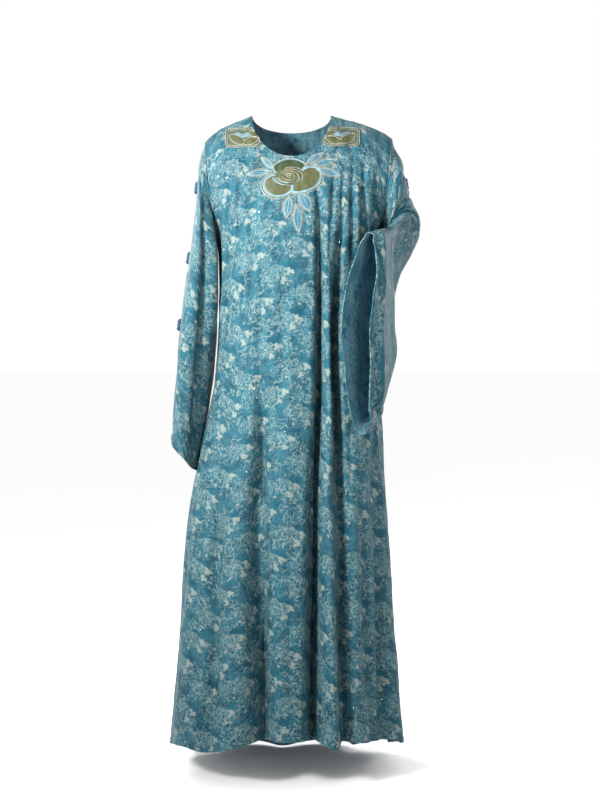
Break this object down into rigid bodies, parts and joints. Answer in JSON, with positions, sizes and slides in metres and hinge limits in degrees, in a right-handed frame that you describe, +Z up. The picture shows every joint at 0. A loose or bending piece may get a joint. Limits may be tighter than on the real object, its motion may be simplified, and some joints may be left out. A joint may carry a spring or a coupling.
{
  "type": "kaftan",
  "caption": "Long A-line kaftan in worn form, hollow, with wide bell sleeves, scooped neck, raised rose applique and folded sleeve tabs.",
  "frame": {"origin": "midway between the two ends of the neck at the shoulder line, where the wearer's shoulders carry the cloth", "axes": "+Z up from the hem to the neck, -Y the front, +X the wearer's left"},
  "size_m": [0.582, 0.4502, 1.5046],
  "materials": {
    "kaftan_cloth": "satin-faced jacquard, teal ground with a pale silver-grey flower motif",
    "olive_satin": "olive satin fill",
    "pale_cord": "ivory and silver cord, laid in rows",
    "tab_cloth": "dark teal folded cloth",
    "rhinestone": "small clear faceted stones, scattered"
  },
  "bodies": {
    "root": {"front": "kaftan_cloth", "back": "kaftan_cloth", "sleeve_right": "kaftan_cloth", "sleeve_left": "kaftan_cloth", "shoulder_patch_right": "olive_satin", "shoulder_patch_left": "olive_satin", "rose_heart": "pale_cord", "rose_petal_right": "olive_satin", "rose_petal_left": "olive_satin", "rose_petal_back": "olive_satin", "leaf_lower_right": "pale_cord", "leaf_lower_left": "pale_cord", "leaf_lower_middle": "pale_cord", "leaf_left": "pale_cord", "leaf_upper_left": "pale_cord", "leaf_right": "pale_cord", "leaf_middle_right": "pale_cord", "leaf_upper_right": "pale_cord", "tab_right_upper": "tab_cloth", "tab_right_middle": "tab_cloth", "tab_right_lower": "tab_cloth", "tab_left_upper": "tab_cloth"}
  },
  "joints": []
}
